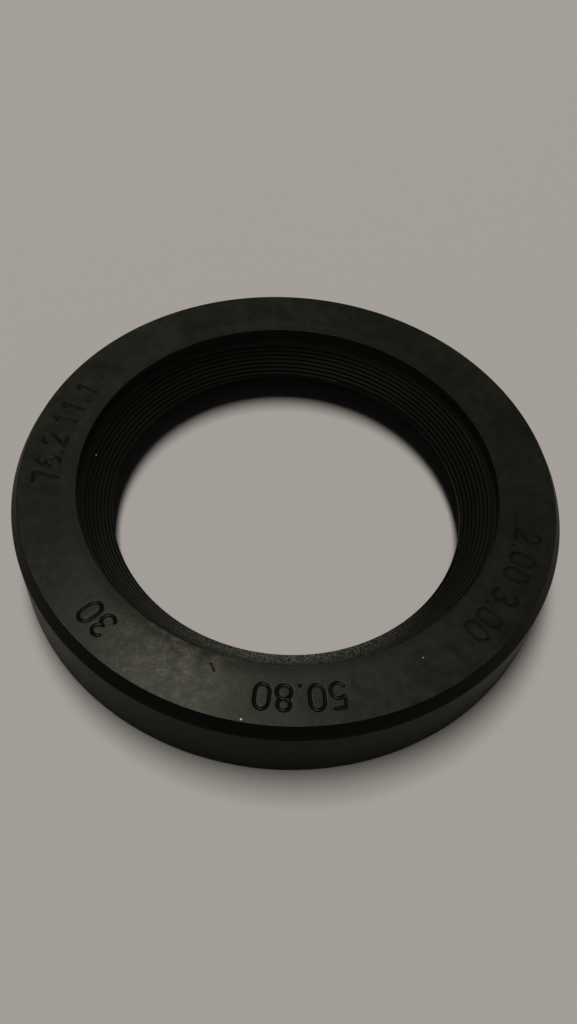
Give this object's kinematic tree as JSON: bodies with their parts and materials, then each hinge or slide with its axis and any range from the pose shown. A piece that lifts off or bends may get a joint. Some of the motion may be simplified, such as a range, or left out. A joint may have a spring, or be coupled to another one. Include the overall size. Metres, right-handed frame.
{
  "type": "radial shaft seal",
  "caption": "Sprung radial shaft seal ring with a rubber cover, a bonded steel insert, a chamfered air-side face and a lip with helical ribs on its cone.",
  "frame": {"origin": "on the axis of the ring, in the plane of its oil-side end, which is the face it stands on", "axes": "+Z along the axis of the ring, from the oil-side end to the moulded air-side face; X and Y lie in the plane of the ring"},
  "size_m": [0.0762, 0.0762, 0.0111],
  "materials": {
    "nitrile_rubber": "moulded, satin, slightly oily",
    "insert_steel": "pressed sheet, phosphated, dull",
    "spring_steel": "drawn wire, bright"
  },
  "bodies": {
    "root": {"seal_body": "nitrile_rubber", "metal_insert": "insert_steel", "garter_spring": "spring_steel"}
  },
  "joints": []
}
